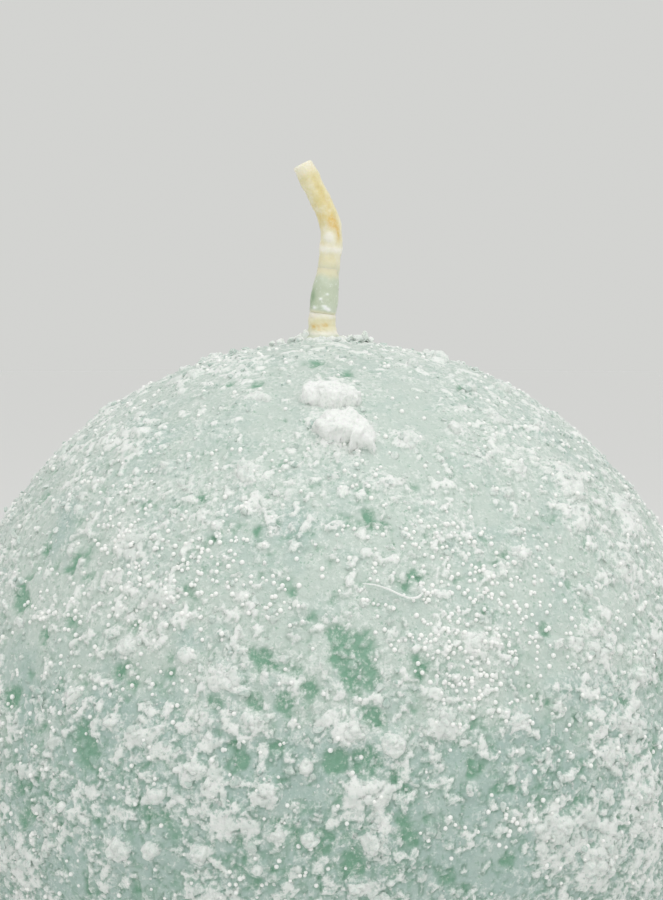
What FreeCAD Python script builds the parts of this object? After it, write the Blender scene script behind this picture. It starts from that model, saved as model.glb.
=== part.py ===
import FreeCAD, Part

# Frosted ball candle, standing on a flat foot. Millimetres and degrees, +Z up, origin at the
# middle of the foot, front towards -Y.
#
# A pressed white wax ball holds a braided wick, which a sheet steel sustainer anchors in a
# recess of the foot. A coloured over-dip coat and a crumbly white frost coat cover the ball.
# Loose flakes and two larger clumps of frost wax are stuck on the frost coat.

import math
import os
import random

import Sketcher
from FreeCAD import Placement, Rotation, Vector

DIMENSIONS = {
    # ball and coats
    "ball_radius": 40.0,          # over the frost coat
    "frost_thickness": 0.5,
    "overdip_thickness": 0.7,
    "foot_radius": 13.0,          # flat of the wax core, which the candle stands on
    "coat_gap": 0.3,              # height of the coats' lower edges above the foot
    # wick and the bore that holds it
    "wick_radius": 1.1,
    "wick_offset": -0.7,          # of the bore from the ball's axis, along X
    "wick_straight": 1.65,        # upright stretch above the crown
    "wick_root_arc": 6.7,
    "wick_lean": 7.2,             # of the middle stretch, from upright, towards +X
    "wick_middle": 6.85,
    "wick_elbow": 7.2,
    "wick_tip_lean": 26.8,        # of the bent end, from upright, towards -X
    "wick_tip": 5.0,
    # wax on the wick
    "collar_radius": 2.5,
    "collar_height": 1.6,
    "collar_lip": 0.3,
    "collar_hollow": 4.0,         # radius of the collar's hollow flank
    "collar_seat": 0.3,           # drop of the collar's rim below the crown, before trimming
    "sleeve_length": 4.6,
    "sleeve_edge": 0.16,          # wax thickness at both ends of the sleeve
    "sleeve_bulge": 16.0,         # radius of the sleeve's barrel curve
    # sustainer in the foot
    "recess_radius": 8.0,
    "recess_depth": 1.2,
    "sheet": 0.3,
    "sustainer_radius": 7.0,
    "neck_radius": 1.5,
    "neck_height": 3.5,
}

# Height of the ball's centre, and of points where a radius meets a sphere about that centre.
CENTRE = ("sqrt((dims.ball_radius - dims.frost_thickness - dims.overdip_thickness)^2"
          " - dims.foot_radius^2)")
CORE = "(dims.ball_radius - dims.frost_thickness - dims.overdip_thickness)"
OVERDIP = "(dims.ball_radius - dims.frost_thickness)"
FROST = "dims.ball_radius"
CROWN = f"({CENTRE} + dims.ball_radius)"
SUSTAINER_TOP = "(dims.recess_depth + dims.neck_height)"

# Flakes of frost wax. Each landmark is azimuth from the front towards +X, elevation above the
# ball's equator, width, length and roll about its own outward direction.
LANDMARK_FLAKES = [
    # crown and shoulders
    (-21, 60, 4.1, 2.0, 4), (40, 44, 2.2, 2.4, 30), (51, 42, 4.2, 3.4, -12), (45, 55, 2.4, 2.0, 20),
    (32, 46, 1.5, 1.5, 60), (34, 40, 1.7, 1.5, 0), (-48, 51, 1.8, 1.5, 15), (-34, 45, 1.7, 1.5, 40),
    (38, 70, 1.8, 1.4, 0), (-58, 66, 1.5, 1.6, 70), (58, 52, 2.6, 2.2, 45),
    # right shoulder and right side
    (32, 30, 2.7, 2.1, -25), (49, 35, 2.8, 2.4, 35), (64, 34, 3.6, 4.0, 10), (54, 27, 3.0, 2.6, 0),
    (50, 11, 2.2, 1.9, 20), (45, 5, 2.6, 2.3, -30), (50, -5, 2.4, 2.1, 50), (34, -8, 2.8, 2.3, 10),
    (41, -14, 4.6, 3.9, 25),
    # belly
    (-4, 23, 1.1, 1.1, 0), (3, 6, 3.6, 2.2, 12), (16, 7, 2.2, 3.1, 0), (6, -2, 2.6, 2.4, 35),
    (6, -9, 2.7, 2.6, 65), (4, -15, 2.2, 1.7, 0), (-8, -2, 2.5, 2.0, -20), (-10, 7, 2.3, 1.9, 45),
    (-7, -8, 2.5, 1.9, 15), (-3, 1, 1.9, 1.5, 80),
    # left side
    (-24, -3, 2.3, 1.9, 30), (-25, -11, 2.3, 2.1, 0), (-18, -11, 2.1, 1.9, 55), (-27, 5, 1.9, 1.6, 0),
    (-18, 1, 2.1, 1.7, -35),
]
SPREAD_FLAKES = 160
FLAKE_GAP = 0.5
FLAKE_HEIGHT = (0.35, 0.9)
FLAKE_ROOT = 0.6            # how far a flake's outline starts inside the ball, before trimming
LOWEST_FLAKE = -58.0        # elevations between which the spread flakes lie
HIGHEST_FLAKE = 80.0

# Two clumps by the wick. Each outline runs anticlockwise, seen from outside, about its own place.
UPPER_CLUMP = {
    "azimuth": 0.3, "elevation": 59.4, "height": 1.4,
    "outline": [(-2.9, 1.9), (-3.0, 0.1), (-2.3, -0.7), (-1.0, -1.7), (0.6, -1.9), (2.0, -1.5),
                (3.3, -0.4), (2.2, 0.7), (1.4, 1.2), (0.6, 1.8), (-0.6, 1.4)],
}
LOWER_CLUMP = {
    "azimuth": 3.0, "elevation": 51.6, "height": 1.7,
    "outline": [(-2.5, 1.7), (-2.9, 0.6), (-1.8, -1.3), (0.6, -1.8), (0.5, -3.3), (1.7, -2.3),
                (2.8, -2.8), (3.3, -0.9), (2.5, 0.6), (1.3, 1.9), (0.1, 2.4), (-1.0, 2.5)],
}


def make_sheet(doc):
    """Spreadsheet of the driving dimensions, one alias for each."""
    dims = doc.addObject("Spreadsheet::Sheet", "dims")
    for row, (alias, number) in enumerate(DIMENSIONS.items(), start=1):
        dims.set(f"A{row}", alias)
        dims.set(f"B{row}", str(number))
        dims.setAlias(f"B{row}", alias)
    doc.recompute()
    return dims


def value(obj, expression):
    """Number that an expression over the sheet gives."""
    return float(obj.evalExpression(expression))


def new_body(doc, label):
    """Body whose label names the piece."""
    body = doc.addObject("PartDesign::Body", label)
    body.Label = label
    return body


def new_sketch(body, name, role):
    """Sketch on one of the body's own origin planes."""
    sketch = body.newObject("Sketcher::SketchObject", name)
    plane = next(item for item in body.Origin.OriginFeatures if item.Role == role)
    sketch.AttachmentSupport = [(plane, "")]
    sketch.MapMode = "FlatFace"
    return sketch


def bind(sketch, constraint, name, expression):
    """Add a constraint and drive it by an expression."""
    sketch.renameConstraint(sketch.addConstraint(constraint), name)
    sketch.setExpression("Constraints." + name, expression)


def pin_point(sketch, edge, end, name, across, upward):
    """Hold an edge's end at two coordinates, given as expressions."""
    if across == "0":
        sketch.addConstraint(Sketcher.Constraint("PointOnObject", edge, end, -2))
    else:
        bind(sketch, Sketcher.Constraint("DistanceX", -1, 1, edge, end, value(sketch, across)),
             name + "_across", across)
    if upward == "0":
        sketch.addConstraint(Sketcher.Constraint("PointOnObject", edge, end, -1))
    else:
        bind(sketch, Sketcher.Constraint("DistanceY", -1, 1, edge, end, value(sketch, upward)),
             name + "_upward", upward)


def draw_circle(sketch, radius, across="0"):
    """Circle with its centre on the sketch's X axis, its radius and place as expressions."""
    number = value(sketch, radius)
    centre = Vector(value(sketch, across) if across != "0" else 0, 0, 0)
    sketch.addGeometry(Part.Circle(centre, Vector(0, 0, 1), number), False)
    pin_point(sketch, 0, 3, "centre", across, "0")
    bind(sketch, Sketcher.Constraint("Radius", 0, number), "radius", radius)


def draw_outline(sketch, corners):
    """Closed outline through corners (across, upward, arc), expressions of the sheet.

    arc shapes the edge that leaves the corner: None for a line, else a radius and "left" or
    "right" for the side of the way of travel that the arc's centre is on.
    """
    points = [Vector(value(sketch, across), value(sketch, upward), 0) for across, upward, _ in corners]
    starts = []
    ends = []
    for index, (_, _, arc) in enumerate(corners):
        here = points[index]
        there = points[(index + 1) % len(points)]
        if arc is None:
            sketch.addGeometry(Part.LineSegment(here, there), False)
            starts.append(1)
            ends.append(2)
            continue
        radius = value(sketch, arc[0])
        side = 1 if arc[1] == "left" else -1
        chord = there - here
        leftward = Vector(-chord.y, chord.x, 0).normalize()
        centre = (here + there) / 2 + leftward * side * math.sqrt(radius**2 - chord.Length**2 / 4)
        first, last = (here, there) if side == 1 else (there, here)
        from_angle = math.atan2(first.y - centre.y, first.x - centre.x)
        to_angle = math.atan2(last.y - centre.y, last.x - centre.x)
        circle = Part.Circle(centre, Vector(0, 0, 1), radius)
        sketch.addGeometry(Part.ArcOfCircle(circle, from_angle, to_angle), False)
        starts.append(1 if side == 1 else 2)
        ends.append(2 if side == 1 else 1)
    for index, (across, upward, arc) in enumerate(corners):
        following = (index + 1) % len(corners)
        sketch.addConstraint(Sketcher.Constraint("Coincident", index, ends[index],
                                                 following, starts[following]))
        pin_point(sketch, index, starts[index], f"corner{index}", across, upward)
        if arc is not None:
            bind(sketch, Sketcher.Constraint("Radius", index, value(sketch, arc[0])),
                 f"radius{index}", arc[0])


def revolve(body, corners):
    """Solid of revolution about +Z of an outline in the XZ plane."""
    sketch = new_sketch(body, "Outline", "XZ_Plane")
    draw_outline(sketch, corners)
    turn = body.newObject("PartDesign::Revolution", "Turn")
    turn.Profile = sketch
    turn.ReferenceAxis = (sketch, ["V_Axis"])
    turn.Angle = 360
    body.Tip = turn
    body.Document.recompute()


def bore(body, name, radius, depth, across="0"):
    """Round hole up into the body; the depth is measured from the foot."""
    before = body.Shape.Volume
    sketch = new_sketch(body, name + "Circle", "XY_Plane")
    draw_circle(sketch, radius, across)
    pocket = body.newObject("PartDesign::Pocket", name)
    pocket.Profile = sketch
    pocket.Reversed = True
    pocket.setExpression("Length", depth)
    body.Tip = pocket
    body.Document.recompute()
    if body.Shape.Volume > before - 0.1:
        raise RuntimeError(f"{body.Label}: {name} removed no wax")


def move_onto_wick(body):
    """Put a piece made about +Z onto the axis of the wick's bore."""
    body.setExpression("Placement.Base.x", "dims.wick_offset")


def sphere_edge(radius):
    """Distance from the axis of a sphere about the ball's centre, at the coats' lower edges."""
    return f"sqrt({radius}^2 - ({CENTRE} - dims.coat_gap)^2)"


def make_wax_core(doc):
    body = new_body(doc, "wax_core")
    revolve(body, [
        ("0", "0", None),
        ("dims.foot_radius", "0", (CORE, "left")),
        ("0", f"({CENTRE} + {CORE})", None),
    ])
    bore(body, "SustainerRecess", "dims.recess_radius", "dims.recess_depth")
    bore(body, "NeckBore", "dims.neck_radius", SUSTAINER_TOP, "dims.wick_offset")
    bore(body, "WickBore", "dims.wick_radius", CROWN, "dims.wick_offset")
    return body


def make_coat(doc, label, outer, inner):
    """Spherical shell between two radii, open at the foot and round the wick."""
    body = new_body(doc, label)
    revolve(body, [
        (sphere_edge(inner), "dims.coat_gap", None),
        (sphere_edge(outer), "dims.coat_gap", (outer, "left")),
        ("0", f"({CENTRE} + {outer})", None),
        ("0", f"({CENTRE} + {inner})", (inner, "right")),
    ])
    bore(body, "WickBore", "dims.wick_radius", CROWN, "dims.wick_offset")
    return body


def make_sustainer(doc):
    """Sheet disc with a crimped neck round the wick, against the roof of the recess."""
    body = new_body(doc, "wick_sustainer")
    underside = "(dims.recess_depth - dims.sheet)"
    revolve(body, [
        ("dims.wick_radius", underside, None),
        ("dims.sustainer_radius", underside, None),
        ("dims.sustainer_radius", "dims.recess_depth", None),
        ("dims.neck_radius", "dims.recess_depth", None),
        ("dims.neck_radius", SUSTAINER_TOP, None),
        ("dims.wick_radius", SUSTAINER_TOP, None),
    ])
    move_onto_wick(body)
    return body


def make_wick(doc):
    """Round cord: upright through the ball, leaning a little above it, then bent at an elbow."""
    body = new_body(doc, "wick")
    path = new_sketch(body, "WickPath", "XZ_Plane")
    bottom = "(dims.recess_depth - dims.sheet)"
    straight_top = f"({CROWN} + dims.wick_straight)"
    lean = value(path, "dims.wick_lean")
    tip_lean = value(path, "dims.wick_tip_lean")

    def heading(angle):
        return Vector(math.sin(math.radians(angle)), math.cos(math.radians(angle)), 0)

    def turn_centre(point, angle, side, radius):
        return point + Vector(heading(angle).y, -heading(angle).x, 0) * side * radius

    def arc_about(centre, radius, start_angle, end_angle):
        circle = Part.Circle(centre, Vector(0, 0, 1), radius)
        return Part.ArcOfCircle(circle, math.radians(start_angle), math.radians(end_angle))

    root_arc = value(path, "dims.wick_root_arc")
    elbow = value(path, "dims.wick_elbow")
    start = Vector(0, value(path, bottom), 0)
    upright_end = Vector(0, value(path, straight_top), 0)
    root_centre = turn_centre(upright_end, 0, 1, root_arc)
    middle_start = turn_centre(root_centre, lean, -1, root_arc)
    middle_end = middle_start + heading(lean) * value(path, "dims.wick_middle")
    elbow_centre = turn_centre(middle_end, lean, -1, elbow)
    tip_start = turn_centre(elbow_centre, -tip_lean, 1, elbow)
    tip_end = tip_start + heading(-tip_lean) * value(path, "dims.wick_tip")

    path.addGeometry(Part.LineSegment(start, upright_end), False)
    path.addGeometry(arc_about(root_centre, root_arc, 180 - lean, 180), False)
    path.addGeometry(Part.LineSegment(middle_start, middle_end), False)
    path.addGeometry(arc_about(elbow_centre, elbow, -lean, tip_lean), False)
    path.addGeometry(Part.LineSegment(tip_start, tip_end), False)
    path.addConstraint(Sketcher.Constraint("Vertical", 0))
    pin_point(path, 0, 1, "start", "0", bottom)
    bind(path, Sketcher.Constraint("DistanceY", -1, 1, 0, 2, upright_end.y), "upright", straight_top)
    path.addConstraint(Sketcher.Constraint("Tangent", 0, 2, 1, 2))
    path.addConstraint(Sketcher.Constraint("Tangent", 1, 1, 2, 1))
    path.addConstraint(Sketcher.Constraint("Tangent", 2, 2, 3, 1))
    path.addConstraint(Sketcher.Constraint("Tangent", 3, 2, 4, 1))
    bind(path, Sketcher.Constraint("Radius", 1, root_arc), "root_arc", "dims.wick_root_arc")
    bind(path, Sketcher.Constraint("Radius", 3, elbow), "elbow", "dims.wick_elbow")
    angles = ((2, "lean", "90 - dims.wick_lean"), (4, "tip_lean", "90 + dims.wick_tip_lean"))
    for edge, name, angle in angles:
        radians = math.radians(value(path, angle))
        bind(path, Sketcher.Constraint("Angle", edge, radians), name, angle)
    for edge, name, length in ((2, "middle", "dims.wick_middle"), (4, "tip", "dims.wick_tip")):
        bind(path, Sketcher.Constraint("Distance", edge, value(path, length)), name, length)

    section = new_sketch(body, "WickSection", "XY_Plane")
    section.setExpression("AttachmentOffset.Base.z", bottom)
    draw_circle(section, "dims.wick_radius")
    doc.recompute()
    sweep = body.newObject("PartDesign::AdditivePipe", "WickSweep")
    sweep.Profile = section
    sweep.Spine = path
    body.Tip = sweep
    move_onto_wick(body)
    doc.recompute()
    length = sum(edge.Length for edge in path.Shape.Edges)
    expected = math.pi * value(path, "dims.wick_radius")**2 * length
    if abs(body.Shape.Volume - expected) > 0.01 * expected:
        raise RuntimeError(f"wick: volume {body.Shape.Volume:.2f}, expected {expected:.2f}")
    return body


def make_root_collar(doc):
    """Hollow-sided ring of wax where the wick leaves the ball."""
    body = new_body(doc, "wick_root_collar")
    top = f"({CROWN} + dims.collar_height)"
    seat = f"({CROWN} - dims.collar_seat)"
    revolve(body, [
        ("dims.wick_radius", seat, None),
        ("dims.collar_radius", seat, ("dims.collar_hollow", "right")),
        ("dims.wick_radius + dims.collar_lip", top, None),
        ("dims.wick_radius", top, None),
    ])
    before = body.Shape.Volume
    ball = body.newObject("PartDesign::SubtractiveSphere", "BallUnderIt")
    ball.setExpression("Radius", FROST)
    ball.setExpression("Placement.Base.x", "-dims.wick_offset")
    ball.setExpression("Placement.Base.z", CENTRE)
    body.Tip = ball
    move_onto_wick(body)
    doc.recompute()
    if body.Shape.Volume > before - 0.1:
        raise RuntimeError("wick_root_collar: the ball wasn't cut away")
    return body


def make_wick_sleeve(doc):
    """Barrel of coloured wax round the leaning stretch of the wick."""
    body = new_body(doc, "wick_wax_sleeve")
    revolve(body, [
        ("dims.wick_radius", "0", None),
        ("dims.wick_radius + dims.sleeve_edge", "0", ("dims.sleeve_bulge", "left")),
        ("dims.wick_radius + dims.sleeve_edge", "dims.sleeve_length", None),
        ("dims.wick_radius", "dims.sleeve_length", None),
    ])
    body.Placement = Placement(Vector(), Rotation(Vector(0, 1, 0), 1))
    body.setExpression("Placement.Rotation.Angle", "dims.wick_lean")
    body.setExpression("Placement.Base.x", "dims.wick_offset"
                       " + dims.wick_root_arc * (1 - cos(dims.wick_lean * 1deg))")
    body.setExpression("Placement.Base.z",
                       f"{CROWN} + dims.wick_straight + dims.wick_root_arc * sin(dims.wick_lean * 1deg)")
    return body


def outward_rotation(azimuth, elevation):
    """Turn that takes +Z outwards from the ball's centre and +Y up the ball."""
    return Rotation(Vector(0, 0, 1), azimuth) * Rotation(Vector(1, 0, 0), 90 - elevation)


def outward_placement(dims, azimuth, elevation, roll):
    """Place on the frost coat, turned outwards and rolled about its own outward direction."""
    turn = outward_rotation(azimuth, elevation) * Rotation(Vector(0, 0, 1), roll)
    centre = Vector(0, 0, value(dims, CENTRE))
    return Placement(centre + turn.multVec(Vector(0, 0, value(dims, FROST))), turn)


def frost_lump(dims, place, outline, height):
    """Lump on the frost coat: an outline that narrows in two steps, trimmed by the coat's sphere."""
    middle = Vector(sum(x for x, _ in outline), sum(y for _, y in outline), 0) / len(outline)
    wires = []
    for rise, narrowing in ((-FLAKE_ROOT, 1.0), (0.55 * height, 0.93), (height, 0.62)):
        ring = [middle + (Vector(x, y, 0) - middle) * narrowing + Vector(0, 0, rise) for x, y in outline]
        wires.append(Part.makePolygon([place.multVec(point) for point in ring + ring[:1]]))
    lump = Part.makeLoft(wires, True, True)
    ball = Part.makeSphere(value(dims, FROST), Vector(0, 0, value(dims, CENTRE)))
    return lump.cut(ball).Solids[0]


def flake_outline(rng, width, length):
    """Irregular polygon of five to seven corners, width by length."""
    corners = rng.randint(5, 7)
    step = 2 * math.pi / corners
    turn = rng.uniform(0, step)
    outline = []
    for index in range(corners):
        angle = turn + index * step + rng.uniform(-0.22, 0.22) * step
        reach = rng.uniform(0.82, 1.0)
        outline.append((0.5 * width * reach * math.cos(angle), 0.5 * length * reach * math.sin(angle)))
    return outline


def direction(azimuth, elevation):
    """Unit vector from the ball's centre."""
    return outward_rotation(azimuth, elevation).multVec(Vector(0, 0, 1))


def flake_zone(azimuth, elevation):
    """Name of the group that a flake belongs to."""
    if elevation > 38:
        return "crown"
    if elevation < -30:
        return "lower"
    quarter = round(azimuth / 90) % 4
    return ("front", "right", "back", "left")[quarter]


def spread_flakes(dims, rng):
    """Landmark flakes and the flakes spread between them, clear of each other and the clumps."""
    radius = value(dims, FROST)
    taken = []
    for clump in (UPPER_CLUMP, LOWER_CLUMP):
        reach = max(math.hypot(x, y) for x, y in clump["outline"])
        taken.append((direction(clump["azimuth"], clump["elevation"]), reach))
    flakes = list(LANDMARK_FLAKES)
    for azimuth, elevation, width, length, _ in LANDMARK_FLAKES:
        taken.append((direction(azimuth, elevation), 0.5 * max(width, length)))
    floor = math.sin(math.radians(LOWEST_FLAKE))
    ceiling = math.sin(math.radians(HIGHEST_FLAKE))
    while len(flakes) < len(LANDMARK_FLAKES) + SPREAD_FLAKES:
        azimuth = rng.uniform(-180, 180)
        elevation = math.degrees(math.asin(rng.uniform(floor, ceiling)))
        width = 1.5 + 2.6 * rng.random()**2
        length = width * rng.uniform(0.6, 0.95)
        roll = rng.uniform(0, 180)
        here = direction(azimuth, elevation)
        if any(radius * here.getAngle(other) < reach + width / 2 + FLAKE_GAP for other, reach in taken):
            continue
        taken.append((here, width / 2))
        flakes.append((azimuth, elevation, width, length, roll))
    return flakes


def make_flakes(doc, dims):
    """One group of separate flakes for each zone of the ball."""
    rng = random.Random(7)
    groups = {}
    for azimuth, elevation, width, length, roll in spread_flakes(dims, rng):
        place = outward_placement(dims, azimuth, elevation, roll)
        outline = flake_outline(rng, width, length)
        height = min(rng.uniform(*FLAKE_HEIGHT), 0.5 * length)
        lump = frost_lump(dims, place, outline, height)
        groups.setdefault(flake_zone(azimuth, elevation), []).append(lump)
    pieces = []
    for zone, lumps in groups.items():
        group = doc.addObject("Part::Feature", f"frost_flakes_{zone}")
        group.Label = f"frost_flakes_{zone}"
        group.Shape = Part.makeCompound(lumps)
        group.Placement = Placement()
        pieces.append(group)
    return pieces


def make_clump(doc, dims, label, clump):
    """Large lump of frost wax by the wick."""
    piece = doc.addObject("Part::Feature", label)
    piece.Label = label
    place = outward_placement(dims, clump["azimuth"], clump["elevation"], 0)
    piece.Shape = frost_lump(dims, place, clump["outline"], clump["height"])
    piece.Placement = Placement()
    return piece


def check_and_write(doc, pieces):
    """Stop on any failed object or bad shape, then write one STEP file for each piece."""
    for item in doc.Objects:
        if {"Invalid", "Error"} & set(item.State):
            raise RuntimeError(f"{item.Label}: {item.State}")
    for piece in pieces:
        if piece.Shape.isNull() or not piece.Shape.isValid() or not piece.Shape.Solids:
            raise RuntimeError(f"{piece.Label}: bad shape")
    os.makedirs("parts", exist_ok=True)
    for piece in pieces:
        piece.Shape.exportStep(f"parts/{piece.Label}.step")
        box = piece.Shape.BoundBox
        print(f"{piece.Label:22s} solids {len(piece.Shape.Solids):3d}  volume {piece.Shape.Volume:10.2f}"
              f"  z {box.ZMin:6.2f} to {box.ZMax:6.2f}")


def main():
    doc = FreeCAD.newDocument("ball_candle")
    dims = make_sheet(doc)
    pieces = [
        make_wax_core(doc),
        make_coat(doc, "overdip_coat", OVERDIP, CORE),
        make_coat(doc, "frost_coat", FROST, OVERDIP),
        make_sustainer(doc),
        make_wick(doc),
        make_root_collar(doc),
        make_wick_sleeve(doc),
        make_clump(doc, dims, "frost_clump_upper", UPPER_CLUMP),
        make_clump(doc, dims, "frost_clump_lower", LOWER_CLUMP),
    ]
    pieces += make_flakes(doc, dims)
    doc.recompute()
    check_and_write(doc, pieces)


main()
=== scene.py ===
import math
from itertools import product

import bmesh
import bpy
import numpy as np
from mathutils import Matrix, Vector
from mathutils.bvhtree import BVHTree


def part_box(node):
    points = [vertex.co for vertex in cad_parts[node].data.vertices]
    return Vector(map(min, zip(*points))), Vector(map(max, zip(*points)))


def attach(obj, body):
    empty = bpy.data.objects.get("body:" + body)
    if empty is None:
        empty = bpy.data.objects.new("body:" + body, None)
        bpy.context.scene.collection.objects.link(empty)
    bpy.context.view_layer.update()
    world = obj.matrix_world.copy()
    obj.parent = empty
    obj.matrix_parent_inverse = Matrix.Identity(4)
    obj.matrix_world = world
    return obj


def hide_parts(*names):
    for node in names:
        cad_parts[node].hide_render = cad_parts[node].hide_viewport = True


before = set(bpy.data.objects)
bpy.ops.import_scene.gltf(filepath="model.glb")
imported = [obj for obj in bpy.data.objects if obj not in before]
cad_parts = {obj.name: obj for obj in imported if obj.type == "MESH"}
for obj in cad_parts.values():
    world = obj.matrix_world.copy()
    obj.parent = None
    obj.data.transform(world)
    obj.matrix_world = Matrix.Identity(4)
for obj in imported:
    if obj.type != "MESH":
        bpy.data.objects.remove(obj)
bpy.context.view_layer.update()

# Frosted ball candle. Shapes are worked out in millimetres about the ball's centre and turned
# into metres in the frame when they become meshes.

MM = 0.001
FROST_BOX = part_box("frost_coat")
BALL_RADIUS = (FROST_BOX[1].x - FROST_BOX[0].x) / 2 / MM
BALL_CENTRE = FROST_BOX[1].z / MM - BALL_RADIUS
COAT_EDGE = FROST_BOX[0].z / MM
FOOT_RADIUS = 13.0
# Added to every place, in cells, so that cells are numbered from above zero.
FIRST_CELL = 500.0


# ---- numbers from places

def smoothstep(low, high, values):
    """0 below low, 1 above high, and a smooth rise between."""
    t = np.clip((values - low) / (high - low), 0.0, 1.0)
    return t * t * (3 - 2 * t)


def unit(vectors):
    """Rows of an array, each made one long."""
    return vectors / np.linalg.norm(vectors, axis=1, keepdims=True)


def cell_random(cells, seed):
    """A number from 0 to 1 for each whole-numbered cell (n, 3), scrambled from its number."""
    mixed = (cells[:, 0] * np.uint32(73856093) ^ cells[:, 1] * np.uint32(19349663)
             ^ cells[:, 2] * np.uint32(83492791) ^ np.uint32(seed * 2654435 + 1013904223))
    mixed ^= mixed >> np.uint32(15)
    mixed *= np.uint32(0x2C1B3C6D)
    mixed ^= mixed >> np.uint32(12)
    mixed *= np.uint32(0x297A2D39)
    mixed ^= mixed >> np.uint32(15)
    return (mixed >> np.uint32(8)).astype(np.float32) / np.float32(1 << 24)


def cell_vector(cells, seed):
    """Three numbers from 0 to 1 for each cell."""
    return np.stack([cell_random(cells, seed + axis) for axis in range(3)], axis=1)


def neighbours(floor):
    """The 27 cells about each point's own cell, one shift at a time."""
    for step in product((-1, 0, 1), repeat=3):
        yield (floor + np.array(step)).astype(np.uint32)


def noise(points, size, seed):
    """Gradient noise from about -1 to 1, its lumps about size across."""
    scaled = points / size + FIRST_CELL
    floor = np.floor(scaled)
    inside = (scaled - floor).astype(np.float32)
    cells = floor.astype(np.uint32)
    fade = inside**3 * (inside * (inside * 6 - 15) + 10)
    total = np.zeros(len(points), np.float32)
    for corner in product((0, 1), repeat=3):
        corner = np.array(corner)
        cell = cells + corner.astype(np.uint32)
        share = np.prod(np.where(corner, fade, 1 - fade), axis=1)
        offset = inside - corner.astype(np.float32)
        slope = sum((2 * cell_random(cell, seed + axis) - 1) * offset[:, axis] for axis in range(3))
        total += share * slope
    return 1.6 * total


def fractal(points, size, octaves, seed, gain=0.5):
    """Sum of finer and finer noise, from about -1 to 1."""
    total = np.zeros(len(points), np.float32)
    weight, reach = 1.0, 0.0
    for octave in range(octaves):
        total += weight * noise(points, size, seed + 11 * octave)
        reach += weight
        weight *= gain
        size *= 0.52
    return total / reach * 1.4


def warped(points, size, amount, seed):
    """The points pushed about, so that what is drawn from them has ragged outlines."""
    push = np.stack([fractal(points, size, 2, seed + 100 * axis) for axis in range(3)], axis=1)
    return points + amount * push


def grains(points, size, seed, presence):
    """Height, in the points' own units, of round-topped grains, about one in each cell."""
    scaled = points / size + FIRST_CELL
    best = np.zeros(len(points), np.float32)
    for cell in neighbours(np.floor(scaled).astype(np.int64)):
        radius = 0.22 + 0.3 * cell_random(cell, seed + 3)
        away = np.linalg.norm(scaled - cell - cell_vector(cell, seed), axis=1) / radius
        here = cell_random(cell, seed + 4) < presence
        dome = np.sqrt(np.clip(1 - away**2, 0, None)) * radius * here
        best = np.maximum(best, dome)
    return best * size


def broken_plates(points, size, seed, presence, edge):
    """Crumbs with flat, leaning tops and gaps between them: how high each point is on its crumb,
    and a number for each crumb. presence is the share of crumbs that are there, and edge is how
    far their flanks slope, in cells."""
    scaled = points / size + FIRST_CELL
    first = np.full(len(points), 9.0, np.float32)
    second = first.copy()
    owner = np.zeros((len(points), 3), np.uint32)
    lean = np.zeros(len(points), np.float32)
    for cell in neighbours(np.floor(scaled).astype(np.int64)):
        offset = (scaled - cell - cell_vector(cell, seed)).astype(np.float32)
        away = np.linalg.norm(offset, axis=1)
        closer = away < first
        second = np.where(closer, first, np.minimum(second, away))
        first = np.where(closer, away, first)
        owner[closer] = cell[closer]
        slope = cell_vector(cell, seed + 5) - 0.5
        lean = np.where(closer, (offset * slope).sum(axis=1), lean)
    margin = presence - cell_random(owner, seed + 3)
    top = smoothstep(0.04, 0.04 + edge, second - first) * smoothstep(0.0, 0.22, margin)
    return top * (0.8 + 0.9 * lean), cell_random(owner, seed + 4)


# ---- the frost crust

# Places on the ball: azimuth from the front towards +X and elevation in degrees, radius in mm.
SMOOTH_PATCHES = [(34, 22, 3.6), (-12, 58, 3.4), (-14, 55, 3.0), (20, 56, 3.2), (48, 20, 2.2), (12, 47, 2.2),
                  (-2, 27, 2.2), (28, 36, 1.8), (33, 14, 2.4), (26, 62, 2.6), (13, 22, 1.8)]
WICK_OFFSET = -0.7
GREEN_HOLLOWS = [(3, 17, 2.3), (4, 14, 1.8), (-35, 1, 1.8), (-36, 4, 1.5), (-47, 16, 1.7), (-54, 22, 2.0),
                 (-51, 9, 1.5), (-16, 11, 1.4), (5, 2, 1.8), (1, 2, 1.4), (-12, 2, 1.5), (-4, -8, 1.5),
                 (-1, -9, 1.7), (20, 1, 1.2), (23, -2, 1.0), (11, -8, 1.3), (16, -14, 1.2), (25, -13, 1.2),
                 (-11, -14, 1.6), (3, -13, 1.6), (-25, -8, 1.2), (-4, 14, 1.5), (-21, 12, 1.5), (33, 19, 0.8),
                 (13, 15, 1.1), (21, 7, 1.1), (-23, 40, 1.0), (-33, 38, 1.0), (8, 41, 0.7), (7, 37, 0.7),
                 (13, 27, 0.8), (-34, 64, 0.8), (-24, 64, 0.9), (-9, 72, 1.3), (6, 68, 1.0), (70, 88, 0.9),
                 (8, 5, 1.2), (10, -6, 1.0), (-9, 10, 1.3), (-6, 10, 1.3), (52, 2, 1.2), (-48, -8, 1.4),
                 (-45, 28, 1.2), (-69, 40, 1.4), (-30, 14, 1.1), (-41, 19, 1.1), (-9, 16, 1.6), (-3, 13, 1.5),
                 (6, 8, 1.5)]
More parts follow.
